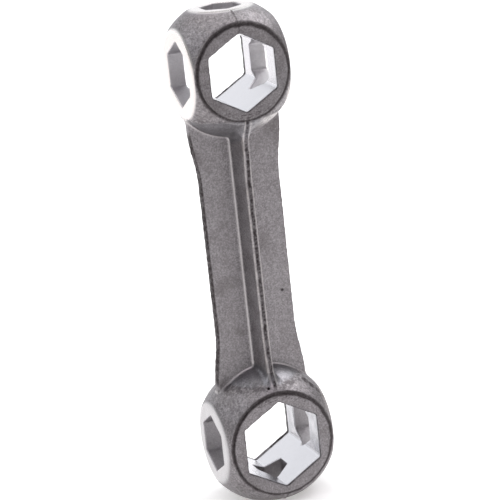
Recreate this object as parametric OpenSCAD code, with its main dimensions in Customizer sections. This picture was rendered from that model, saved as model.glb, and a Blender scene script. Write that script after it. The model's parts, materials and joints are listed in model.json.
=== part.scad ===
// Dumbbell spanner: one casting with a ball-shaped head at each end of a flat,
// ribbed shank. Each ball is cut by flats, and each flat has a hexagon socket.
//
// Z runs up along the spanner to the small head, X across its width and Y
// through its thickness, with the front at -Y. The origin is the centre of the
// large head's end flat, on which the spanner stands.

/* [Overall] */
// Distance between the centres of the two heads
head_span = 74; // [70:1:90]
// Thickness between the front and the back flats of both heads
thickness = 18; // [17:0.5:20]
// Play added to each nominal socket size, across the flats
socket_play = 0.1; // [0:0.05:0.3]

/* [Large head] */
// Diameter of the ball
large_ball_d = 27.6; // [27:0.2:30]
// Width between the two side flats
large_width = 22.5; // [20:0.5:24]
// Distance from the ball's centre to the end flat
large_reach = 12.5; // [11.5:0.1:12.8]
// Nominal size of the socket through the thickness
large_main_af = 15; // [13:1:15]
// Nominal size of the socket in the -X side
large_left_af = 10; // [8:1:11]
// Nominal size of the socket in the +X side
large_right_af = 8; // [6:1:11]
// Nominal size of the socket in the end
large_end_af = 6; // [5:1:8]

/* [Small head] */
// Diameter of the ball
small_ball_d = 26.2; // [25.6:0.2:28]
// Width between the two side flats
small_width = 19.6; // [19:0.2:21]
// Distance from the ball's centre to the end flat
small_reach = 11.7; // [11:0.1:12]
// Nominal size of the socket through the thickness
small_main_af = 13; // [10:1:13]
// Nominal size of the socket in the -X side
small_left_af = 11; // [8:1:11]
// Nominal size of the socket in the +X side
small_right_af = 9; // [6:1:11]
// Nominal size of the socket in the end
small_end_af = 7; // [5:1:8]

/* [Web] */
// Width of the web along the middle of the shank
web_w = 16.2; // [14:0.2:18]
// Width of the web where it runs into the heads
web_end_w = 18.6; // [17:0.2:19]
// Thickness of the web beside the ribs
web_root_t = 2.4; // [2:0.1:3]
// Thickness of the web at its long edges
web_edge_t = 2; // [1.5:0.1:2.4]
// Distance from the shank's middle at which the web starts to widen
flare_start = 15; // [12:0.5:18]
// Distance from the shank's middle at which the web has its full width
flare_stop = 26; // [24:0.5:28]

/* [Ribs] */
// Height of a rib's crest from the web's mid plane, along the shank's middle
rib_h = 5.8; // [4:0.1:6.5]
// Height of a rib's crest from the web's mid plane, at the heads
rib_end_h = 6.8; // [5:0.1:7.5]
// Width of a rib where it meets the web
rib_root_w = 3.1; // [2.4:0.1:4]
// Width of a rib's crest at the heads
rib_crest_w = 1; // [0.8:0.1:1.6]

/* [Hidden] */

$fn = 96;
cast_grey = [0.56, 0.53, 0.54];
large_z = large_reach;
small_z = large_reach + head_span;
shank_z = (large_z + small_z) / 2;
large_ball_r = large_ball_d / 2;
small_ball_r = small_ball_d / 2;

// Each head's own region of the casting reaches this far from the shank's middle
neck_z = 20;
// Distance from the mid plane at which a rib's region leaves the web's region
rib_split_y = 1.6;
// How far a neck's end stays inside the ball, and cuts run past what they cut
bury = 0.5;
past = 1;
// Points on each widening stretch of an outline
flare_steps = 12;

// The widening curve: 0 up to flare_start, 1 from flare_stop, smooth between
function widening(z) =
    let (t = min(1, max(0, (z - flare_start) / (flare_stop - flare_start))))
    t * t * (3 - 2 * t);
function flare_z(i) = flare_start + (flare_stop - flare_start) * i / flare_steps;
function between(low, high, z) = low + (high - low) * widening(z);

// One long edge of an outline, as [distance from the mid line, z] points:
// low along the middle and high at the ends
function long_edge(low, high, end_z) = concat(
    [[high, -end_z]],
    [for (i = [flare_steps:-1:0]) [between(low, high, flare_z(i)), -flare_z(i)]],
    [for (i = [0:flare_steps]) [between(low, high, flare_z(i)), flare_z(i)]],
    [[high, end_z]]);

// The web: tapered towards its long edges and wider at both ends
module web_body() {
    half_w = web_end_w / 2 + past;
    edge = long_edge(web_w / 2, web_end_w / 2, head_span / 2);
    intersection() {
        linear_extrude(head_span, center = true)
            polygon([
                [-half_w, -web_edge_t / 2],
                [0, -web_root_t / 2],
                [half_w, -web_edge_t / 2],
                [half_w, web_edge_t / 2],
                [0, web_root_t / 2],
                [-half_w, web_edge_t / 2]
            ]);
        rotate([90, 0, 0])
            linear_extrude(web_root_t + past, center = true)
                polygon(concat(edge, [for (p = edge) [-p[0], -p[1]]]));
    }
}

// The front rib, with drafted flanks
module rib_body() {
    half_l = head_span / 2;
    edge = long_edge(rib_h, rib_end_h, half_l);
    root_y = web_root_t / 2;
    intersection() {
        linear_extrude(head_span, center = true)
            polygon([
                [-rib_root_w / 2, 0],
                [-rib_root_w / 2, -root_y],
                [-rib_crest_w / 2, -rib_end_h],
                [rib_crest_w / 2, -rib_end_h],
                [rib_root_w / 2, -root_y],
                [rib_root_w / 2, 0]
            ]);
        rotate([90, 0, -90])
            linear_extrude(rib_root_w + past, center = true)
                polygon(concat(edge, [[0, half_l], [0, -half_l]]));
    }
}

// The whole shank, centred on the origin
module shank_body() {
    web_body();
    rib_body();
    mirror([0, 1, 0]) rib_body();
}

// The stretch of the shank from y_low to y_high and z_low to z_high
module shank_part(y_low, y_high, z_low, z_high) {
    intersection() {
        shank_body();
        translate([-web_end_w, y_low, z_low])
            cube([2 * web_end_w, y_high - y_low, z_high - z_low]);
    }
}

// Hexagon bar along Z, with two corners on the X axis
module hex_bar(af, length) {
    cylinder(h = length, d = (af + socket_play) / cos(30), $fn = 6);
}

// Side sockets open into the socket through the thickness, with two corners in
// line with the shank. The end socket has two corners towards front and back.
module sockets(main_af, left_af, right_af, end_af, ball_r) {
    length = ball_r + past;
    rotate([90, 0, 0]) rotate(30) translate([0, 0, -length]) hex_bar(main_af, 2 * length);
    rotate([0, -90, 0]) hex_bar(left_af, length);
    rotate([0, 90, 0]) hex_bar(right_af, length);
    rotate(30) hex_bar(end_af, length);
}

// A head at the origin with its end towards +Z and its neck towards -Z
module head(ball_r, width, reach, main_af, left_af, right_af, end_af) {
    neck_stop = sqrt(pow(ball_r, 2) - pow(web_end_w / 2, 2)) - bury;
    color(cast_grey)
        difference() {
            union() {
                intersection() {
                    sphere(ball_r);
                    translate([-width / 2, -thickness / 2, -ball_r - past])
                        cube([width, thickness, ball_r + past + reach]);
                }
                translate([0, 0, -head_span / 2])
                    shank_part(-rib_end_h, rib_end_h, neck_z, head_span / 2 - neck_stop);
            }
            sockets(main_af, left_af, right_af, end_af, ball_r);
        }
}

module large_head() {
    translate([0, 0, large_z])
        mirror([0, 0, 1])
            head(large_ball_r, large_width, large_reach,
                large_main_af, large_left_af, large_right_af, large_end_af);
}

module small_head() {
    translate([0, 0, small_z])
        head(small_ball_r, small_width, small_reach,
            small_main_af, small_left_af, small_right_af, small_end_af);
}

module web() {
    color(cast_grey)
        translate([0, 0, shank_z])
            shank_part(-rib_split_y, rib_split_y, -neck_z, neck_z);
}

module front_rib() {
    color(cast_grey)
        translate([0, 0, shank_z])
            shank_part(-rib_end_h, -rib_split_y, -neck_z, neck_z);
}

module back_rib() {
    color(cast_grey)
        translate([0, 0, shank_z])
            shank_part(rib_split_y, rib_end_h, -neck_z, neck_z);
}

large_head();
small_head();
web();
front_rib();
back_rib();
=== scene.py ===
"""A dumbbell spanner: one zinc casting with a ball-shaped head at each end of a ribbed shank.

The casting is worked out as a distance field in millimetres, in the frame of the CAD model. That
gives its fillets, rounded socket mouths, parting lines and cast texture as real geometry. The
field is meshed once and cut into the heads and the shank, so no seam shows where they meet.
"""

import json
import math

import bmesh
import bpy
import numpy as np
from mathutils import Matrix, Vector


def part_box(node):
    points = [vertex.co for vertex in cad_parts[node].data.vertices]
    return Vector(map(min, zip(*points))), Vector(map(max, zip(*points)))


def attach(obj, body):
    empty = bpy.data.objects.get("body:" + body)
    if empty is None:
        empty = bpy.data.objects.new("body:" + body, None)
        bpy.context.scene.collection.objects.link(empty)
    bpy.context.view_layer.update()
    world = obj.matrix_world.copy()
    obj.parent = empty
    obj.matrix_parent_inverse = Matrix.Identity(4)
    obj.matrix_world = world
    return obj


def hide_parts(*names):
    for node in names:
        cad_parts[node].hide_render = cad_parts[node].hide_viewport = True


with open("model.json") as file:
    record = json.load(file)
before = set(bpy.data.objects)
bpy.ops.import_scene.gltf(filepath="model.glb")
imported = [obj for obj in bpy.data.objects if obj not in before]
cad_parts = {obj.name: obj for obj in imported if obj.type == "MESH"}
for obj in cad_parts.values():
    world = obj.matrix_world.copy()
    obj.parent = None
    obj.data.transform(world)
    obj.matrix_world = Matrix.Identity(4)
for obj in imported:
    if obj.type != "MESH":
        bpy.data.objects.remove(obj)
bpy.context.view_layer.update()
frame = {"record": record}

MM = 0.001
CAD_NODES = ("large_head", "small_head", "web", "front_rib", "back_rib")
node_boxes = np.array([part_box(node) for node in CAD_NODES]) / MM
cad_mm = np.array([node_boxes[:, 0].min(axis=0), node_boxes[:, 1].max(axis=0)])


# ---------------------------------------------------------------- sizes, in millimetres

mounts = {m["name"]: m for m in frame["record"]["mounts"]}


def mount_mm(name):
    """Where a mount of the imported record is, in millimetres."""
    return [c / MM for c in mounts[name]["pos_m"]]


class Head:
    """One head: where it is, its ball, its sockets, and how light its worked faces are.

    up is 1 where the head's end points up, and -1 where it points down.
    The skirt is a second, smaller ball nearer the shank. It leaves the head's ball at the height
    called skirt, and comes down to the web at the radius called toe_r.
    ground_light, wall_light and neck_light say, from 0 to 1, how light the ground flats, the main
    socket's side walls and the right of the neck are. They go for the smaller sockets, and for the
    dark left of the neck, too. The flats and walls are lighter metal, but how much lighter differs
    between the heads as the light falls on each: that difference is painted light and shade. The
    neck's light right is a painted highlight, and its dark left painted shade.
    """

    def __init__(self, name, up, ball_r, boss_r, skirt, toe_r, ground_light, wall_light, neck_light,
                 sockets):
        main, side, end = (mount_mm(f"{name}_{way}_socket") for way in ("main", "right", "end"))
        self.z = main[2]
        self.up = up
        self.ball_r = ball_r
        self.boss_r = boss_r
        self.half_depth = -main[1]
        self.half_width = side[0]
        self.reach = abs(end[2] - main[2])
        self.ground_light = ground_light
        self.wall_light = wall_light
        self.neck_light = neck_light
        self.sockets = sockets
        self.skirt = skirt
        web = WEB_ROOT_T / 2
        self.skirt_up = -(toe_r ** 2 + web ** 2 - ball_r ** 2) / (2 * (toe_r - skirt))
        self.skirt_r = math.hypot(toe_r + self.skirt_up, web)


SOCKET_PLAY = 0.1
WEB_ROOT_T = 2.4
LARGE = Head("large", up=-1, ball_r=13.8, boss_r=10.15, skirt=11.8, toe_r=14.3, ground_light=0.42,
             wall_light=0.4, neck_light=0.0, sockets={"main": 15, "left": 10, "right": 8, "end": 6})
SMALL = Head("small", up=1, ball_r=13.1, boss_r=9.05, skirt=9.0, toe_r=13.3, ground_light=1.0,
             wall_light=0.85, neck_light=0.5, sockets={"main": 13, "left": 11, "right": 9, "end": 7})
HEADS = (LARGE, SMALL)
SHANK_Z = (LARGE.z + SMALL.z) / 2

WEB_W = 16.2
WEB_END_W = 18.6
WEB_EDGE_T = 2.0
WEB_TAPER_W = 20.6     # the width at which the web's tapered faces would be WEB_EDGE_T apart
FLARE_REACH = (15.0, 26.0)    # from the shank's middle: where it starts to flare, and stops
RIB_H = 5.8
RIB_END_H = 6.8
RIB_ROOT_W = 3.1
RIB_CREST_W = 1.0

NECK_Z = 20.0          # the heads' pieces reach this far from the shank's middle
BURY = 0.5             # how far the shank's end stays inside a ball

NECK_FILLET = 0.6      # web to ball
FOOT_FILLET = 0.8      # rib to ball, by the web
FOOT_FLARE = 1.5       # added to that fillet by the rib's crest
FOOT_RISE = (4.0, 8.0)    # from the middle plane: where that starts, and where it is full
ROOT_FILLET = 0.5      # rib to web
RIB_ROUND = 0.35       # along a rib's crest
WEB_ROUND = 0.45       # along the web's long edges
FLAT_ROUND = 0.5       # where a flat meets its ball
MOUTH_ROUND = 0.22     # around a socket's mouth, and where two sockets meet
CORNER_ROUND = 0.3     # in a socket's corners

BOSS_H = 0.28          # how far the front and back faces stand above the shelf around them
BOSS_ROUND = 0.12      # along a boss's edge
PART_LINE_H = 0.1      # height of the parting line, which runs where x is 0
PART_LINE_W = 0.22     # the width of each of its slopes
FLASH_H = 0.12         # height of the trimmed flash along the web's long edges

# Small casting pores: where each is, and its radius.
PORES = (
    ((-1.3, -7.7, 23.8), 0.24),
    ((6.1, -1.25, 41.0), 0.25),
    ((-4.6, 1.3, 61.5), 0.25),
    ((2.6, 10.2, 20.3), 0.3),
)
# Dark oxide smudges on the skin: where each is, and its radius.
SMUDGES = (
    ((7.4, -5.0, 23.0), 1.1),
    ((8.5, -5.4, 22.0), 1.0),
    ((9.7, -5.6, 20.6), 0.9),
    ((10.5, -5.6, 19.3), 0.8),
    ((-6.9, 8.3, 78.9), 1.0),
)

STEP = 0.2
MARGIN = 3             # empty grid steps around the casting
SLAB = 40              # grid layers worked out at a time, to keep memory small
EDGE_PULL = 0.05       # how much a vertex keeps to the middle of its cell's crossings
PROJECTIONS = 3        # times that the vertices are moved onto the surface
LEAST_SLOPE = 0.05     # keeps those moves short where the field is nearly level


# ---------------------------------------------------------------- distance fields


def round_max(a, b, radius):
    """The intersection of two fields, with its edge rounded."""
    corner = np.hypot(np.maximum(a + radius, 0), np.maximum(b + radius, 0))
    return np.minimum(np.maximum(a, b), -radius) + corner


def round_min(a, b, radius):
    """The union of two fields, with a fillet between them."""
    corner = np.hypot(np.maximum(radius - a, 0), np.maximum(radius - b, 0))
    return np.maximum(np.minimum(a, b), radius) - corner


def smooth_step(low, high, value):
    """0 up to low, 1 from high, and a smooth rise between."""
    t = np.clip((value - low) / (high - low), 0, 1)
    return t * t * (3 - 2 * t)


def hexagon(u, v, across_flats):
    """A hexagon with flats at +-u and corners on the v axis, its corners slightly rounded."""
    r = (across_flats + SOCKET_PLAY) / 2
    u, v = np.abs(u), np.abs(v)
    slanted = u * 0.5 + v * math.sin(math.pi / 3) - r
    mirrored = v * math.sin(math.pi / 3) - u * 0.5 - r
    return round_max(round_max(u - r, slanted, CORNER_ROUND), mirrored, CORNER_ROUND)


def web_field(x, y, z):
    """The web, without end."""
    x, y = np.abs(x), np.abs(y)
    taper = (WEB_ROOT_T - WEB_EDGE_T) / WEB_TAPER_W
    half_width = (WEB_W + (WEB_END_W - WEB_W) * flare(z)) / 2
    return round_max(y - WEB_ROOT_T / 2 + taper * x, x - half_width, WEB_ROUND)


def rib_field(x, y, z):
    """Both ribs, without end."""
    x, y = np.abs(x), np.abs(y)
    height = RIB_H + (RIB_END_H - RIB_H) * flare(z)
    draft = (RIB_ROOT_W - RIB_CREST_W) / 2 / (RIB_END_H - WEB_ROOT_T / 2)
    flank = (x - RIB_ROOT_W / 2 + draft * (y - WEB_ROOT_T / 2)) / math.hypot(1, draft)
    return round_max(flank, y - height, RIB_ROUND)


def flare(z):
    """0 in the shank's middle, rising to 1 near the heads."""
    return smooth_step(*FLARE_REACH, np.abs(z - SHANK_Z))


def ball_field(head, x, y, z):
    """A head's ball, cut by its flats."""
    up = (z - head.z) * head.up
    ball = np.sqrt(x * x + y * y + up * up) - head.ball_r
    skirt = np.sqrt(x * x + y * y + (up - head.skirt_up) ** 2) - head.skirt_r
    ball = np.minimum(ball, np.maximum(skirt, up))
    for flat in (np.abs(x) - head.half_width, up - head.reach):
        ball = round_max(ball, flat, FLAT_ROUND)
    shelf = round_max(ball, np.abs(y) - (head.half_depth - BOSS_H), BOSS_ROUND)
    boss = round_max(np.hypot(x, up) - head.boss_r, np.abs(y) - head.half_depth, BOSS_ROUND)
    return np.minimum(shelf, np.maximum(boss, ball))


def socket_field(head, x, y, z):
    """The hollow of all four sockets of a head."""
    up = (z - head.z) * head.up
    size = head.sockets
    hollow = hexagon(x, up, size["main"])
    left = np.maximum(hexagon(y, up, size["left"]), x)
    right = np.maximum(hexagon(y, up, size["right"]), -x)
    end = np.maximum(hexagon(x, y, size["end"]), -up)
    for branch in (left, right, end):
        hollow = round_min(hollow, branch, MOUTH_ROUND)
    return hollow


def solid_parts(x, y, z):
    """The fields of the shank, cut off inside the balls, and of both balls."""
    web, rib = web_field(x, y, z), rib_field(x, y, z)
    for head in HEADS:
        stop = math.sqrt(head.ball_r ** 2 - (WEB_END_W / 2) ** 2) - BURY
        end = (z - head.z) * head.up + stop
        web, rib = np.maximum(web, end), np.maximum(rib, end)
    balls = [ball_field(head, x, y, z) for head in HEADS]
    return web, rib, balls


def rib_foot(rib, ball, y):
    """A ball and the rib's foot that flares out on it."""
    return round_min(rib, ball, FOOT_FILLET + FOOT_FLARE * smooth_step(*FOOT_RISE, np.abs(y)))


def casting_field(x, y, z):
    """The whole casting: negative inside, in millimetres."""
    web, rib, balls = solid_parts(x, y, z)
    solid = round_min(web, rib, ROOT_FILLET)
    for ball in balls:
        foot = rib_foot(rib, ball, y)
        solid = np.minimum(round_min(solid, ball, NECK_FILLET), round_min(web, foot, NECK_FILLET))
    for head in HEADS:
        solid = round_max(solid, -socket_field(head, x, y, z), MOUTH_ROUND)
    for (px, py, pz), radius in PORES:
        pore = np.sqrt((x - px) ** 2 + (y - py) ** 2 + (z - pz) ** 2) - radius
        solid = round_max(solid, -pore, MOUTH_ROUND)
    return solid


FILLET_DEPTH = (0.05, 0.28)    # as a share of its radius: where a fillet starts, and is full


def in_fillet(x, y, z):
    """1 in the fillets of the ribs and necks, 0 away from them."""
    web, rib, balls = solid_parts(x, y, z)
    depth = (np.minimum(web, rib) - round_min(web, rib, ROOT_FILLET)) / ROOT_FILLET
    for ball in balls:
        foot = rib_foot(rib, ball, y)
        depth = np.maximum(depth, (np.minimum(web, foot) - round_min(web, foot, NECK_FILLET)) / NECK_FILLET)
    return smooth_step(*FILLET_DEPTH, depth)


# ---------------------------------------------------------------- from field to mesh


def sampled(axes):
    """The field on a grid."""
    xs, ys, zs = axes
    values = np.empty((len(xs), len(ys), len(zs)), np.float32)
    for first in range(0, len(zs), SLAB):
        part = zs[first:first + SLAB]
        grid = np.meshgrid(xs, ys, part, indexing="ij")
        values[:, :, first:first + SLAB] = casting_field(*grid)
    return values


def cell_corner(values, i, j, k):
    """One corner's values for all the grid's cells."""
    nx, ny, nz = (n - 1 for n in values.shape)
    return values[i:i + nx, j:j + ny, k:k + nz]


def surface_net(values, axes):
    """Quads through the cells that the surface crosses: one vertex to each cell.

    Each vertex lies where the surface's slopes around it meet, so edges come out straight.
    """
    corners = [(i, j, k) for i in (0, 1) for j in (0, 1) for k in (0, 1)]
    inside = values < 0
    count = sum(cell_corner(inside, *c).astype(np.int8) for c in corners)
    cells = np.argwhere((count > 0) & (count < 8))
    number = np.full(count.shape, -1, np.int64)
    number[tuple(cells.T)] = np.arange(len(cells))
    origin = np.array([axis[0] for axis in axes])
    total = np.zeros((len(cells), 3))
    crossings = np.zeros(len(cells))
    planes = np.zeros((len(cells), 3, 3))
    offsets = np.zeros((len(cells), 3))
    for axis in range(3):
        for start in (c for c in corners if c[axis] == 0):
            stop = tuple(1 if n == axis else s for n, s in enumerate(start))
            a = cell_corner(values, *start)[tuple(cells.T)].astype(float)
            b = cell_corner(values, *stop)[tuple(cells.T)].astype(float)
            hit = (a < 0) != (b < 0)
            along = np.where(hit, a / np.where(hit, a - b, 1), 0)
            point = np.array(start, float) + np.outer(along, np.eye(3)[axis])
            total += point * hit[:, None]
            crossings += hit
            here = origin + (cells[hit] + point[hit]) * STEP
            slope = unit(gradient(here))
            planes[hit] += slope[:, :, None] * slope[:, None, :]
            offsets[hit] += slope * (slope * here).sum(axis=1)[:, None]
    middle = origin + (cells + total / crossings[:, None]) * STEP
    pulled = offsets + EDGE_PULL * middle
    points = np.linalg.solve(planes + EDGE_PULL * np.eye(3), pulled[:, :, None])[:, :, 0]
    corner = origin + cells * STEP
    points = np.clip(points, corner, corner + STEP)
    quads = []
    for axis in range(3):
        one, two = [n for n in range(3) if n != axis]
        low = [slice(1, -1)] * 3
        high = [slice(1, -1)] * 3
        low[axis], high[axis] = slice(0, -1), slice(1, None)
        a, b = inside[tuple(low)], inside[tuple(high)]
        for leaving in (True, False):
            at = np.argwhere((a != b) & (a == leaving))
            at[:, one] += 1
            at[:, two] += 1
            ring = []
            for back_one, back_two in ((1, 1), (0, 1), (0, 0), (1, 0)):
                cell = at.copy()
                cell[:, one] -= back_one
                cell[:, two] -= back_two
                ring.append(number[tuple(cell.T)])
            forward = leaving != (axis == 1)
            quads.append(np.stack(ring if forward else ring[::-1], axis=1))
    return points, np.concatenate(quads)


def gradient(points):
    """The field's slope at each point."""
    nudge = 0.01
    slopes = []
    for axis in np.eye(3) * nudge:
        ahead = casting_field(*(points + axis).T)
        behind = casting_field(*(points - axis).T)
        slopes.append((ahead - behind) / (2 * nudge))
    return np.stack(slopes, axis=1)


def onto_surface(points):
    """Moves each point along the slope until it lies on the surface."""
    for _ in range(PROJECTIONS):
        value = casting_field(*points.T)
        slope = gradient(points)
        size = np.maximum((slope ** 2).sum(axis=1), LEAST_SLOPE)
        points = points - slope * np.clip(value / size, -STEP, STEP)[:, None]
    return points


def distances(points, place):
    """How far each point is from one place."""
    return np.linalg.norm(points - place, axis=1)


def unit(vectors):
    """Each row, scaled to length one."""
    tiny = 1e-9
    return vectors / np.maximum(np.linalg.norm(vectors, axis=1), tiny)[:, None]


def vertex_normals(points, quads):
    """The mean of the faces around each vertex, weighted by area."""
    a, b, c, d = (points[quads[:, n]] for n in range(4))
    face = np.cross(c - a, d - b)
    normals = np.zeros_like(points)
    for n in range(4):
        np.add.at(normals, quads[:, n], face)
    return unit(normals)


# ---------------------------------------------------------------- noise and bands


def lattice_noise(points, size, seed):
    """Smooth noise between about -1 and 1, with bumps of the given size."""
    period = 32
    table = np.random.default_rng(seed).uniform(-1, 1, (period, period, period))
    place = points / size
    cell = np.floor(place).astype(int)
    t = place - cell
    t = t * t * (3 - 2 * t)
    total = np.zeros(len(points))
    for i in (0, 1):
        for j in (0, 1):
            for k in (0, 1):
                weight = np.prod(np.abs(np.array([1 - i, 1 - j, 1 - k]) - t), axis=1)
                corner = (cell + (i, j, k)) % period
                total += weight * table[tuple(corner.T)]
    return total


def band(offset, half_width, softness):
    """1 within half_width of zero, falling to 0 over softness."""
    return 1 - smooth_step(half_width, half_width + softness, np.abs(offset))


def near(low, high, value):
    """1 up to low, and 0 from high."""
    return 1 - smooth_step(low, high, value)


def partly(share, noise):
    """1 where noise is 1, and less by share where it is 0."""
    return 1 - share + share * noise


# ---------------------------------------------------------------- marks on the surface
#
# Sizes are in millimetres, and strengths go from 0 to 1. A noise has the size of its bumps and its
# seed. A band has its half width and softness. A pair of limits says where a mark starts and where
# it is full, or, for near(), where it is still full and where it stops.

WANDER = (1.3, 11)             # bends lines
SPECKLE = (0.3, 13)            # specks and ragged edges
PATCHES = (1.7, 17)            # worn patches, which speckle makes ragged
PATCHES_SHARE = 0.5
PATCH_LIMITS = (-0.6, 0.5)
LINE_WANDER = 0.12             # how far a drawn line wanders

NEAR_BALL = 0.1                # how far out of its ball a head's surface goes
SQUARE_ON = (0.75, 0.95)       # how squarely the surface faces sideways or endways
STEP_DEPTH = (BOSS_H, 2.5 * BOSS_H)    # below a boss's face: where marks of the boss fade out
OFF_SOCKET = 0.3               # how far from a socket the marks by the neck start


class Skin:
    """The casting's vertices, and the finish of each: four marks, each from 0 to 1.

    flash is dark and rough: trimmed flash, parting lines and oxide, and painted shade in the step
    around each boss, in the pores, along the neck's crease and on the neck's left.
    smooth has no cast grain: ground flats, main sockets, skirts and fillets.
    light is bright: ground flats and rubbed edges, and painted highlights on the fillets, on the
    neck's right and on the right flat's edge by the neck.
    bore is the inside of a socket: broached in a main socket, and dimmer in the others.
    """

    def __init__(self, points, normals):
        self.points = points
        self.x, self.y, self.z = points.T
        self.sideways = np.abs(normals[:, 0])
        self.endways = np.abs(normals[:, 2])
        self.wander = lattice_noise(points, *WANDER)
        self.speckle = lattice_noise(points, *SPECKLE)
        patches = self.speckle + PATCHES_SHARE * lattice_noise(points, *PATCHES)
        self.patchy = smooth_step(*PATCH_LIMITS, patches)
        self.finish = {name: np.zeros(len(points)) for name in ("flash_and_shade", "smooth", "light", "bore")}

    def mark(self, name, strength):
        """Brings a mark up to this strength, where it is weaker."""
        self.finish[name] = np.maximum(self.finish[name], strength)


class OnHead:
    """Where the vertices are on one head.

    up is how far they are from its centre towards its end, and depth how far below its front or
    back face. off_ball, off_boss and gap are how far outside the ball, a boss's edge and the
    sockets they are.
    """

    def __init__(self, skin, head):
        self.head = head
        self.up = (skin.z - head.z) * head.up
        radius = np.sqrt(skin.x * skin.x + skin.y * skin.y + self.up * self.up)
        ring = np.hypot(skin.x, self.up)
        self.depth = head.half_depth - np.abs(skin.y)
        self.gap = socket_field(head, skin.x, skin.y, skin.z)
        self.off_ball = radius - head.ball_r
        self.off_boss = ring - head.boss_r
        self.inside_ball = self.off_ball < NEAR_BALL
        self.shankward = -self.up / np.maximum(ring, 1)
        self.on_front = near(*STEP_DEPTH, self.depth)
        self.on_boss = (self.off_boss < 0) * self.on_front
        self.squarely = smooth_step(*SQUARE_ON, np.maximum(skin.sideways, skin.endways))


SEAM_ON_BALL = (0.12, 0.2)
SEAM_BAND = (0.08, 0.14)
SEAM_DARK = 0.7
SEAM_PATCHY = 0.6
BOSS_SEAM_BAND = (0.05, 0.12)
BOSS_SEAM_DARK = 0.6
BOSS_SEAM_PATCHY = 0.7


def mark_seams(skin, at):
    """Parting lines where x is 0: around the ball, and across the boss on the end's side."""
    offset = skin.x + LINE_WANDER * skin.wander
    seam = band(at.off_ball, *SEAM_ON_BALL) * band(offset, *SEAM_BAND)
    skin.mark("flash_and_shade", SEAM_DARK * partly(SEAM_PATCHY, skin.patchy) * seam)
    boss_seam = band(offset, *BOSS_SEAM_BAND) * at.on_boss * (at.up > 0)
    skin.mark("flash_and_shade", BOSS_SEAM_DARK * partly(BOSS_SEAM_PATCHY, skin.patchy) * boss_seam)


# Painted shade in the step around each boss: a dark line that widens towards the top.
STEP_SHADE_W = 0.1                   # half width of the dark line around a boss, at its lowest point
STEP_SHADE_GROWTH = 0.1              # added to that at the boss's middle height, and again at its top
STEP_SHADE_OUT = 0.12                # how far outside the boss's edge the line runs
STEP_SHADE_WANDER = 0.1
STEP_SHADE_SOFTNESS = 0.3
STEP_SHADE_DARK = 0.8
STEP_SHADE_SPECKLE = 0.12
TARNISH = 0.16                 # on the boss's face
TARNISH_WANDER = 0.1


def mark_boss(skin, at):
    """Painted shade in the step around a boss, widest at the top, and its face, which is a little dull."""
    height = at.head.up * at.up / at.head.boss_r
    half_width = STEP_SHADE_W + STEP_SHADE_GROWTH * (1 + height)
    # The painted shade in the step around the boss.
    step_shade = band(at.off_boss - STEP_SHADE_OUT + STEP_SHADE_WANDER * skin.wander, half_width, STEP_SHADE_SOFTNESS)
    skin.mark("flash_and_shade", step_shade * at.on_front * (STEP_SHADE_DARK + STEP_SHADE_SPECKLE * skin.speckle))
    skin.mark("flash_and_shade", at.on_boss * at.head.ground_light * (TARNISH + TARNISH_WANDER * skin.wander))


BACK_BURR = 1.0                # how deep the broach's dark burr goes at a back mouth
FRONT_BURR = 0.12
BURR_SOFTNESS = 0.3
BURR_BAND = (0.08, 0.26)
BURR_PATCHY = 0.25
TRIM_LINES = ((0.55, 0.1, 0.06), (1.0, -0.12, 0.05))    # in from the boss's edge, wander, half width
TRIM_SOFTNESS = 0.12
TRIM_SHANKWARD = (0.7, 0.95)
TRIM_OFF_SOCKET = 0.1
TRIM_DARK = 0.7


def mark_tooling(skin, at):
    """The burr around a main socket's mouths, and the lines where flash was trimmed by the neck."""
    burr = np.where(skin.y > 0, BACK_BURR, FRONT_BURR)
    mouth = near(burr, burr + BURR_SOFTNESS, at.depth) * band(at.gap, *BURR_BAND)
    skin.mark("flash_and_shade", mouth * partly(BURR_PATCHY, skin.patchy) * at.inside_ball)
    trimmed = np.maximum(*(band(at.off_boss + inwards + wander * skin.wander, half_width, TRIM_SOFTNESS)
                           for inwards, wander, half_width in TRIM_LINES))
    trimmed = trimmed * smooth_step(*TRIM_SHANKWARD, at.shankward) * skin.patchy
    skin.mark("flash_and_shade", TRIM_DARK * trimmed * at.on_front * (at.gap > TRIM_OFF_SOCKET))


FLAT_DEPTH = (0.05, 0.4)
BORE_WALL = (0.05, 0.2)
BORE_LIGHT = 0.85
BORE_SMOOTH = 0.8
SIDE_WALL = (0.8, 0.95)        # how squarely a main socket's side wall faces sideways
SIDE_WALL_SHARE = 0.8
SIDE_WALL_WANDER = 0.4
SMALL_BORE_LIGHT = 0.55
SMALL_BORE_GAP = 0.1
# A painted highlight on the right flat's rounded edge by the neck.
EDGE_HIGHLIGHT_DEPTH = (0.8, 0.6)
EDGE_HIGHLIGHT_SIDEWAYS = (0.35, 0.7)
EDGE_HIGHLIGHT_SHANKWARD = (0.1, 0.7)


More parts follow.
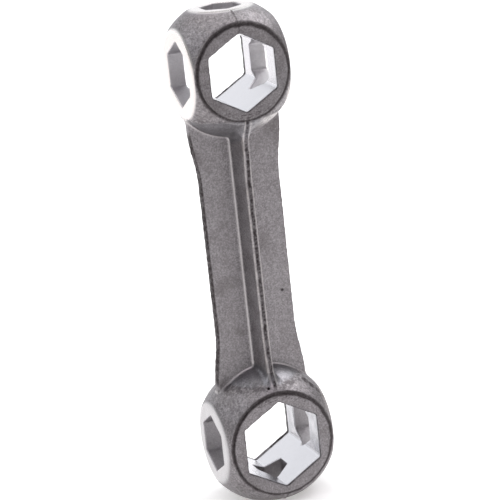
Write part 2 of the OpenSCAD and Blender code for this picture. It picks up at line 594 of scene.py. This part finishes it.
def mark_worked_faces(skin, at):
    """The ground flats, the sockets' walls, and a painted highlight on the right flat's edge by the neck.
    """
    head = at.head
    flat_depth = np.minimum(head.half_width - np.abs(skin.x), head.reach - at.up)
    ground = near(*FLAT_DEPTH, flat_depth) * at.squarely * at.inside_ball
    main_bore = near(*BORE_WALL, hexagon(skin.x, at.up, head.sockets["main"])) * at.inside_ball
    # The main socket's side walls take each head's wall_light: painted light and shade.
    side_wall = smooth_step(*SIDE_WALL, skin.sideways) * (SIDE_WALL_SHARE + SIDE_WALL_WANDER * skin.wander)
    skin.mark("bore", (BORE_LIGHT + (head.wall_light - BORE_LIGHT) * side_wall) * main_bore)
    skin.mark("bore", SMALL_BORE_LIGHT * head.ground_light * (at.gap < SMALL_BORE_GAP) * at.inside_ball)
    skin.mark("smooth", ground)
    skin.mark("smooth", BORE_SMOOTH * main_bore)
    # The right flat's edge by the neck gets a painted highlight.
    edge_highlight = band(head.half_width - np.abs(skin.x), *EDGE_HIGHLIGHT_DEPTH) * smooth_step(*EDGE_HIGHLIGHT_SIDEWAYS, skin.sideways)
    edge_highlight = edge_highlight * smooth_step(*EDGE_HIGHLIGHT_SHANKWARD, at.shankward) * (at.gap > OFF_SOCKET)
    # Ground flats are lighter metal; how much lighter on each head is painted light.
    skin.mark("light", ground * head.ground_light)
    skin.mark("light", edge_highlight * at.inside_ball * (skin.x > 0) * head.ground_light)


CAST_SKIN = 0.15               # how far from the ball its cast skin is
SPECK_LIMITS = (0.25, 0.6)
DARK_SPECKS = 0.3
LIGHT_SPECKS = 0.14


def mark_specks(skin, at):
    """Dark and light specks in the ball's cast skin."""
    cast = (np.abs(at.off_ball) < CAST_SKIN) * (1 - at.squarely) * (at.off_boss > 0)
    skin.mark("flash_and_shade", DARK_SPECKS * cast * smooth_step(*SPECK_LIMITS, skin.speckle))
    skin.mark("light", LIGHT_SPECKS * cast * smooth_step(*SPECK_LIMITS, -skin.speckle))


SKIRT_RISE = (-0.25, 0.15)     # from the height where the skirt leaves the ball
SKIRT_WANDER = 0.2
SKIRT_OFF_WEB = (0.1, 0.5)
SKIRT_REACH = 1.5              # how far out of the ball the skirt goes
SKIRT_SMOOTH = 0.3
# Painted highlight on the neck's right, and painted shade on its left.
NECK_LIT = (0.5, 5.0)          # to the right of the middle
NECK_DARK = (0.5, 3.5)         # to its left
NECK_DARK_SHARE = 0.7
# Painted shade along the crease where the skirt leaves the ball.
CREASE_GAP = 0.4               # from that height to the crease, towards the head's centre
CREASE_WANDER = 0.3
CREASE_BAND = (0.25, 0.5)
CREASE_ON_BALL = (0.1, 0.2)
CREASE_DARK = 0.4


def mark_neck(skin, at):
    """The skirt, smoother than the ball, with a painted highlight on its right and painted shade on its
    left and along its crease.
    """
    head = at.head
    down = -at.up - head.skirt
    off_web = np.abs(skin.y) - WEB_ROOT_T / 2
    skirt = smooth_step(*SKIRT_RISE, down + SKIRT_WANDER * skin.wander)
    skirt = skirt * smooth_step(*SKIRT_OFF_WEB, off_web)
    neck = skirt * (at.off_ball < SKIRT_REACH) * (at.gap > OFF_SOCKET)
    skin.mark("smooth", SKIRT_SMOOTH * neck)
    # Painted highlight on the right of the neck, and painted shade on its left.
    skin.mark("light", head.neck_light * neck * smooth_step(*NECK_LIT, skin.wander + skin.x))
    on_left = smooth_step(*NECK_DARK, skin.wander - skin.x)
    skin.mark("flash_and_shade", NECK_DARK_SHARE * head.neck_light * neck * on_left)
    # Painted shade along the crease.
    crease = band(CREASE_GAP + down - CREASE_WANDER * skin.wander, *CREASE_BAND)
    crease = crease * band(at.off_ball, *CREASE_ON_BALL) * skin.patchy
    skin.mark("flash_and_shade", CREASE_DARK * crease * (at.gap > OFF_SOCKET) * (np.abs(skin.x) > RIB_ROOT_W / 2))


# Painted highlights along the fillets.
FILLET_SMOOTH = 0.35
FILLET_LIGHT = 0.42
SHANK_REACH = (24.3, 26)       # from the shank's middle
RIB_REACH = (-0.8, 0)          # from the height where the skirt leaves the ball
CREST_Y = (5.0, 5.4)
CREST_BAND = (0.24, 0.16)
CREST_DARK = 0.45
CREST_PATCHES = 0.5
RUBBED_Y = (4.9, 5.3)
RUBBED_X = 0.58                # where the rubbed lines beside the crest run
RUBBED_BAND = (0.04, 0.14)
RUBBED_LIGHT = 0.5
RUBBED_PATCHY = 0.6
EDGE_X = (7.5, 7.8)
EDGE_SIDEWAYS = (0.3, 0.75)
EDGE_DARK = 0.6
EDGE_PATCHES = 0.35


def mark_shank(skin):
    """Painted highlights on the fillets, the ribs' dark crests between rubbed lines, and the web's dark
    edges.
    """
    fillet = in_fillet(skin.x, skin.y, skin.z)
    skin.mark("smooth", FILLET_SMOOTH * fillet)
    # The fillets get a painted highlight.
    skin.mark("light", FILLET_LIGHT * fillet)
    on_rib = np.minimum(*(smooth_step(*RIB_REACH, -(skin.z - h.z) * h.up - h.skirt) for h in HEADS))
    offset = skin.x + LINE_WANDER * skin.wander
    crest = smooth_step(*CREST_Y, np.abs(skin.y)) * band(offset, *CREST_BAND) * on_rib
    rubbed = band(np.abs(skin.x) - RUBBED_X, *RUBBED_BAND) * on_rib
    rubbed = rubbed * smooth_step(*RUBBED_Y, np.abs(skin.y))
    edge = smooth_step(*EDGE_SIDEWAYS, skin.sideways) * smooth_step(*EDGE_X, np.abs(skin.x))
    edge = edge * near(*SHANK_REACH, np.abs(skin.z - SHANK_Z))
    skin.mark("flash_and_shade", crest * (CREST_DARK + CREST_PATCHES * skin.patchy))
    skin.mark("flash_and_shade", edge * (EDGE_DARK + EDGE_PATCHES * skin.patchy))
    skin.finish["light"] = skin.finish["light"] * (1 - skin.finish["flash_and_shade"])
    skin.mark("light", RUBBED_LIGHT * rubbed * (1 - RUBBED_PATCHY * skin.patchy))


SMUDGE_CORE = 0.4              # the part of a smudge's radius that is fully dark
SMUDGE_WANDER = 0.3
SMUDGE_DARK = 0.55
SMUDGE_PATCHES = 0.3
PORE_SHADE = 0.2               # how far the painted shade goes around a pore


def mark_spots(skin):
    """The oxide smudges, and painted shade in the pores."""
    for place, radius in SMUDGES:
        away = distances(skin.points, place) + SMUDGE_WANDER * skin.wander
        smudge = near(SMUDGE_CORE * radius, radius, away)
        skin.mark("flash_and_shade", smudge * (SMUDGE_DARK + SMUDGE_PATCHES * skin.patchy))
    for place, radius in PORES:
        skin.mark("flash_and_shade", near(radius, radius + PORE_SHADE, distances(skin.points, place)))


def finish_of(points, normals):
    """The marks at each vertex, by name."""
    skin = Skin(points, normals)
    for head in HEADS:
        at = OnHead(skin, head)
        for mark in (mark_seams, mark_boss, mark_tooling, mark_worked_faces, mark_specks, mark_neck):
            mark(skin, at)
    mark_shank(skin)
    mark_spots(skin)
    return {name: np.clip(strength, 0, 1) for name, strength in skin.finish.items()}


# ---------------------------------------------------------------- relief
#
# A noise has the size of its bumps and its seed, and its height is below it.

FINE_GRAIN = (0.5, 3)
FINE_GRAIN_H = 0.012
BROAD_GRAIN = (2.2, 5)
BROAD_GRAIN_H = 0.02
GRAIN_LOSS = 0.85              # the share of the grain that a smooth face lacks
FLASH_GRAIN = (0.6, 7)
FLASH_GRAIN_H = 0.07
LIP = (0.9, 9)                 # how ragged the trimmed flash is
LIP_MEAN = 0.5
PART_LINE_FLAT = 0.05          # half width of the parting line's top
PART_LINE_ON_BALL = (0.1, 0.15)
LIP_X = (7.6, 7.9)
LIP_BAND = (0.3, 0.4)
LIP_REACH = (23, 25)           # from the shank's middle


def relief(points, flash_and_shade, smooth):
    """How far the cast surface stands out from the perfect one."""
    x, y, z = points.T
    fine = lattice_noise(points, *FINE_GRAIN) * FINE_GRAIN_H
    broad = lattice_noise(points, *BROAD_GRAIN) * BROAD_GRAIN_H
    rough = lattice_noise(points, *FLASH_GRAIN) * FLASH_GRAIN_H * flash_and_shade
    ridge = PART_LINE_H * band(x, PART_LINE_FLAT, PART_LINE_W)
    for head in HEADS:
        up = (z - head.z) * head.up
        rough = rough + ridge * band(np.sqrt(x * x + y * y + up * up) - head.ball_r, *PART_LINE_ON_BALL)
    lip = FLASH_H * (LIP_MEAN + lattice_noise(points, *LIP))
    lip = lip * smooth_step(*LIP_X, np.abs(x)) * band(y, *LIP_BAND) * near(*LIP_REACH, np.abs(z - SHANK_Z))
    return (fine + broad) * (1 - GRAIN_LOSS * smooth) + rough + lip


# ---------------------------------------------------------------- pieces


def cast_axes():
    """Grid lines around the casting, along each axis."""
    return [np.arange(low - MARGIN * STEP, high + (MARGIN + 1) * STEP, STEP) for low, high in cad_mm.T]


def build_casting():
    """The whole casting's vertices in millimetres, its quads, normals and marks."""
    axes = cast_axes()
    points, quads = surface_net(sampled(axes), axes)
    points = onto_surface(points)
    normals = vertex_normals(points, quads)
    finish = finish_of(points, normals)
    points = points + normals * relief(points, finish["flash_and_shade"], finish["smooth"])[:, None]
    points = np.clip(points, *cad_mm)
    return points, quads, vertex_normals(points, quads), finish


def casting_mesh(points, quads, normals, finish):
    """A Blender mesh in metres, with the normals and marks kept on its vertices."""
    mesh = bpy.data.meshes.new("casting")
    mesh.from_pydata((points * MM).tolist(), [], quads.tolist())
    mesh.attributes.new("cast_normal", "FLOAT_VECTOR", "POINT").data.foreach_set("vector", normals.ravel())
    for name, values in finish.items():
        mesh.attributes.new(name, "FLOAT", "POINT").data.foreach_set("value", values)
    return mesh


CUT_SNAP = 1e-8        # in metres: a vertex nearer to the cut than this counts as on it


def cut_piece(name, casting, low, high):
    """The stretch of the casting between two heights, closed with flat faces where it is cut."""
    bm = bmesh.new()
    bm.from_mesh(casting)
    for height, side in ((low, -1), (high, 1)):
        if height is None:
            continue
        everything = bm.verts[:] + bm.edges[:] + bm.faces[:]
        cut = bmesh.ops.bisect_plane(
            bm, geom=everything, dist=CUT_SNAP, plane_co=(0, 0, height * MM),
            plane_no=(0, 0, side), clear_outer=True)
        rim = [edge for edge in cut["geom_cut"] if isinstance(edge, bmesh.types.BMEdge)]
        for cap in bmesh.ops.edgeloop_fill(bm, edges=rim, mat_nr=0)["faces"]:
            cap.normal_update()
            if cap.normal.z * side < 0:
                cap.normal_flip()
            cap.tag = True
    bm.faces.index_update()
    caps = {face.index for face in bm.faces if face.tag}
    mesh = bpy.data.meshes.new(name)
    bm.to_mesh(mesh)
    bm.free()
    keep_normals(mesh, caps)
    piece = bpy.data.objects.new(name, mesh)
    bpy.context.scene.collection.objects.link(piece)
    return piece


def keep_normals(mesh, caps):
    """Shades the mesh with the casting's own normals, and its cut faces flat."""
    mesh.polygons.foreach_set("use_smooth", [True] * len(mesh.polygons))
    kept = np.empty(len(mesh.vertices) * 3)
    mesh.attributes["cast_normal"].data.foreach_get("vector", kept)
    kept = unit(kept.reshape(-1, 3))
    corner = np.empty(len(mesh.loops), np.int64)
    mesh.loops.foreach_get("vertex_index", corner)
    wanted = kept[corner]
    for index in caps:
        face = mesh.polygons[index]
        wanted[face.loop_start:face.loop_start + face.loop_total] = face.normal
    mesh.normals_split_custom_set(wanted.tolist())
    mesh.attributes.remove(mesh.attributes["cast_normal"])


# ---------------------------------------------------------------- material


class Nodes:
    """A short way to add and link shader nodes."""

    def __init__(self, material):
        material.use_nodes = True
        self.tree = material.node_tree
        self.tree.nodes.clear()

    def add(self, kind, values=None, **settings):
        """A new node. A value is set on its socket, or linked when it is another node's output."""
        node = self.tree.nodes.new(kind)
        for key, value in settings.items():
            setattr(node, key, value)
        for key, value in (values or {}).items():
            if isinstance(value, bpy.types.NodeSocket):
                self.tree.links.new(value, node.inputs[key])
            else:
                node.inputs[key].default_value = value
        return node

    def noise(self, place, scale, detail, roughness):
        """A noise, mostly between 0.25 and 0.75."""
        values = {"Vector": place, "Scale": scale, "Detail": detail, "Roughness": roughness}
        return self.add("ShaderNodeTexNoise", values).outputs["Fac"]

    def mapped(self, value, low, high, to_low, to_high):
        """The value, with the span from low to high stretched to that from to_low to to_high."""
        values = {"Value": value, "From Min": low, "From Max": high, "To Min": to_low, "To Max": to_high}
        return self.add("ShaderNodeMapRange", values).outputs["Result"]

    def mixed(self, factor, one, two):
        """Colour one where factor is 0, turning to colour two where it is 1."""
        node = self.add("ShaderNodeMix", {"Factor": factor, "A": one, "B": two}, data_type="RGBA")
        return node.outputs["Result"]


# Colours are linear red, green, blue and alpha.
BARE_DARK = (0.245, 0.228, 0.236, 1)
BARE_LIGHT = (0.35, 0.332, 0.343, 1)
GRAIN_DARK = (0.18, 0.167, 0.172, 1)
GRAIN_LIGHT = (0.46, 0.44, 0.45, 1)
STAIN = (0.13, 0.115, 0.115, 1)
SMOOTH_DARK = (0.21, 0.225, 0.25, 1)
SMOOTH_LIGHT = (0.30, 0.32, 0.35, 1)
BROACHED = (0.80, 0.785, 0.81, 1)
# The ground colour also paints highlights, and the oxide colour painted shade.
GROUND_AND_HIGHLIGHT = (0.80, 0.75, 0.725, 1)
OXIDE_AND_SHADE = (0.05, 0.041, 0.042, 1)

# Noises: scale in waves per metre, detail and roughness.
GRAIN = (3200, 3, 0.7)
STAINS = (170, 3, 0.6)
BLOTCHES = (420, 6, 0.68)
STAIN_SHARE = 0.45

CAST_ROUGHNESS = (0.44, 0.56)
SMOOTH_ROUGHNESS = 0.2
FLASH_ROUGHNESS = 0.7
CAST_BUMP = 0.4
SMOOTH_BUMP = 0.04
BUMP_H = 0.06 * MM


def cast_metal():
    """Bare cast zinc alloy: warm grey and grainy, smoother and lighter where ground, dark on flash.
    Its ground colour also paints highlights, and its oxide colour painted shade.
    """
    material = bpy.data.materials.new("cast_metal")
    tree = Nodes(material)
    place = tree.add("ShaderNodeTexCoord").outputs["Object"]
    flash_and_shade, smooth, light, bore = (
        tree.add("ShaderNodeAttribute", attribute_name=name).outputs["Fac"]
        for name in ("flash_and_shade", "smooth", "light", "bore"))
    grain, stain, blotch = (tree.noise(place, *noise) for noise in (GRAIN, STAINS, BLOTCHES))
    bare = tree.mixed(tree.mapped(blotch, 0.33, 0.67, 0, 1), BARE_DARK, BARE_LIGHT)
    dark_grain = tree.mixed(tree.mapped(grain, 0.28, 0.52, 1, 0), bare, GRAIN_DARK)
    grainy = tree.mixed(tree.mapped(grain, 0.52, 0.78, 0, 1), dark_grain, GRAIN_LIGHT)
    smoothed = tree.mixed(tree.mapped(blotch, 0.35, 0.65, 0, 1), SMOOTH_DARK, SMOOTH_LIGHT)
    stained = tree.mixed(tree.mapped(stain, 0.55, 0.72, 0, STAIN_SHARE), grainy, STAIN)
    cast = tree.mixed(smooth, stained, smoothed)
    bored = tree.mixed(bore, cast, BROACHED)
    # light and flash carry painted highlights and painted shade, along with ground metal and flash.
    worked = tree.mixed(light, bored, GROUND_AND_HIGHLIGHT)
    colour = tree.mixed(flash_and_shade, worked, OXIDE_AND_SHADE)
    cast_rough = tree.mapped(blotch, 0.3, 0.7, *CAST_ROUGHNESS)
    rough = tree.add("ShaderNodeMix", {"Factor": smooth, "A": cast_rough, "B": SMOOTH_ROUGHNESS})
    rough = tree.add("ShaderNodeMix", {"Factor": flash_and_shade, "A": rough.outputs[0], "B": FLASH_ROUGHNESS})
    depth = tree.mapped(smooth, 0, 1, CAST_BUMP, SMOOTH_BUMP)
    bump = tree.add("ShaderNodeBump", {"Height": grain, "Strength": depth, "Distance": BUMP_H})
    shader = tree.add("ShaderNodeBsdfPrincipled", {
        "Base Color": colour, "Metallic": 1.0, "Roughness": rough.outputs[0],
        "Normal": bump.outputs["Normal"]})
    tree.add("ShaderNodeOutputMaterial", {"Surface": shader.outputs["BSDF"]})
    return material


casting = casting_mesh(*build_casting())
metal = cast_metal()
cuts = (SHANK_Z - NECK_Z, SHANK_Z + NECK_Z)
pieces = {
    "large_end": (cut_piece("large_end", casting, None, cuts[0]), ["large_head"]),
    "shank": (cut_piece("shank", casting, *cuts), ["web", "front_rib", "back_rib"]),
    "small_end": (cut_piece("small_end", casting, cuts[1], None), ["small_head"]),
}
for piece, nodes in pieces.values():
    piece.data.materials.append(metal)
    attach(piece, "root")
    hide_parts(*nodes)
bpy.data.meshes.remove(casting)


# ---------------------------------------------------------------- floor, light and camera

# Sizes are in metres from here on, angles in degrees and powers in watts.

FLOOR_GAP = 0.01 * MM  # keeps the floor clear of the end flat that stands on it
FLOOR_HALF = 6.0
FLOOR_COLOUR = (0.92, 0.92, 0.92, 1)
FLOOR_ROUGHNESS = 0.9
FLOOR_GLOW = 0.35      # the floor gives off a little light, so that shadows stay faint
FLOOR_GLOW_COLOUR = (1, 0.98, 0.96, 1)
WORLD_LIGHT = 0.3      # the strength of the even light from all around

# Softboxes: name, azimuth, elevation, distance, width and height, power and colour.
# Azimuth 0 is behind the casting, and 90 is to its right.
SOFTBOXES = (
    ("back_panel", 0, 14, 1.0, (1.7, 0.75), 3.5, (0.93, 0.96, 1.0)),
    ("back_high", 0, 58, 1.0, (0.5, 0.5), 1.1, (1.0, 0.95, 1.0)),
    ("top_box", 0, 85, 1.0, (0.8, 0.8), 1.8, (1.0, 1.0, 0.97)),
    ("front_high", 180, 58, 1.0, (0.62, 0.62), 1.3, (0.98, 0.88, 1.0)),
    ("right_mid", 80, 45, 0.8, (0.45, 0.45), 1.9, (1.0, 0.97, 1.0)),
    ("right_near", 49, 45, 0.72, (0.45, 0.45), 0.7, (0.92, 1.0, 1.0)),
    ("left_mid", -80, 45, 0.8, (0.45, 0.45), 1.0, (0.92, 0.94, 1.0)),
    ("left_near", -49, 45, 0.72, (0.45, 0.45), 0.2, (1.0, 1.0, 0.95)),
)
SOFTBOX_CENTRE = (0, 0, 0.03)    # what their distances are from
SOFTBOX_AIM = (0, 0, 0.04)       # what they face

CAMERA_AZIMUTH = 19.5            # to the left of straight in front
CAMERA_ELEVATION = 15.3
CAMERA_ROLL = -6.2
CAMERA_DISTANCE = 0.4585
CAMERA_AIM = (0.0008, 0.0003, 0.0498)
CAMERA_LENS = 169.5              # in millimetres, and so is the sensor's width
CAMERA_SENSOR = 36
CAMERA_CLIP = 0.01


def add_floor():
    """A plain white table."""
    bpy.ops.mesh.primitive_plane_add(size=2 * FLOOR_HALF, location=(0, 0, -FLOOR_GAP))
    floor = bpy.context.object
    floor.name = "floor"
    material = bpy.data.materials.new("floor_white")
    tree = Nodes(material)
    shader = tree.add("ShaderNodeBsdfPrincipled", {
        "Base Color": FLOOR_COLOUR, "Roughness": FLOOR_ROUGHNESS,
        "Emission Color": FLOOR_GLOW_COLOUR, "Emission Strength": FLOOR_GLOW})
    tree.add("ShaderNodeOutputMaterial", {"Surface": shader.outputs["BSDF"]})
    floor.data.materials.append(material)


def direction(azimuth, elevation):
    """The way from the casting to a place: azimuth 0 is behind it, and 90 is to its right."""
    a, e = math.radians(azimuth), math.radians(elevation)
    return Vector((math.sin(a) * math.cos(e), math.cos(a) * math.cos(e), math.sin(e)))


def aimed(location, target, roll=0.0):
    """The matrix of a camera or light at location that looks at target."""
    look = (Vector(target) - Vector(location)).to_track_quat("-Z", "Y").to_matrix().to_4x4()
    return Matrix.Translation(location) @ look @ Matrix.Rotation(math.radians(roll), 4, "Z")


def add_softbox(name, azimuth, elevation, distance, size, power, colour):
    """A light panel that faces the casting."""
    light = bpy.data.lights.new(name, "AREA")
    light.shape = "RECTANGLE"
    light.size, light.size_y = size
    light.energy = power
    light.color = colour
    lamp = bpy.data.objects.new(name, light)
    place = Vector(SOFTBOX_CENTRE) + direction(azimuth, elevation) * distance
    lamp.matrix_world = aimed(place, SOFTBOX_AIM)
    bpy.context.scene.collection.objects.link(lamp)


def add_world():
    """An even white light from all around."""
    world = bpy.data.worlds.new("studio")
    world.use_nodes = True
    background = world.node_tree.nodes["Background"]
    background.inputs["Color"].default_value = (1, 1, 1, 1)
    background.inputs["Strength"].default_value = WORLD_LIGHT
    bpy.context.scene.world = world


def add_camera():
    """A long lens from the front left, a little above, leaning over to its right."""
    data = bpy.data.cameras.new("camera")
    data.lens = CAMERA_LENS
    data.sensor_width = CAMERA_SENSOR
    data.clip_start = CAMERA_CLIP
    camera = bpy.data.objects.new("camera", data)
    place = Vector(CAMERA_AIM) + direction(180 + CAMERA_AZIMUTH, CAMERA_ELEVATION) * CAMERA_DISTANCE
    camera.matrix_world = aimed(place, CAMERA_AIM, CAMERA_ROLL)
    bpy.context.scene.collection.objects.link(camera)
    bpy.context.scene.camera = camera


add_floor()
for softbox in SOFTBOXES:
    add_softbox(*softbox)
add_world()
add_camera()
bpy.context.scene.view_settings.view_transform = "Standard"
